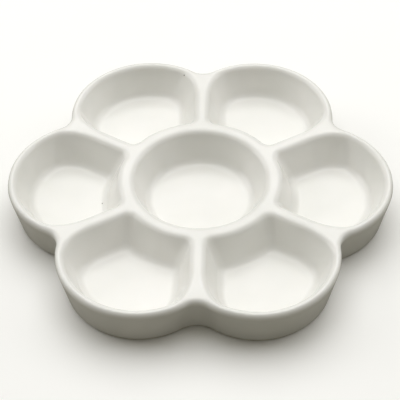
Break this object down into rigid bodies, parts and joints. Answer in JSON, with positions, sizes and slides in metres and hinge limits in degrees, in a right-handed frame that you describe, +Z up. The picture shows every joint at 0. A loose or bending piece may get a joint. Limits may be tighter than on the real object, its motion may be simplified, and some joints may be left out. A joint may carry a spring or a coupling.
{
  "type": "mixing palette",
  "caption": "Flower-shaped porcelain mixing palette: a round centre well ringed by petal-shaped wells with soft rounded rims, white glaze over a clay body, standing on a bare lobed foot.",
  "frame": {"origin": "centre of the foot, on the table plane", "axes": "+Z up out of the wells; +X through the middle of one petal, along the widest extent; +Y along a divider"},
  "size_m": [0.1642, 0.1514, 0.0204],
  "materials": {
    "clay": "fired and unglazed, matt",
    "glaze": "clear white glaze, glossy",
    "underside_glaze": "clear white glaze, glossy"
  },
  "bodies": {
    "root": {"porcelain_body": "clay", "glaze_coat": "glaze", "underside_glaze": "underside_glaze"}
  },
  "joints": []
}
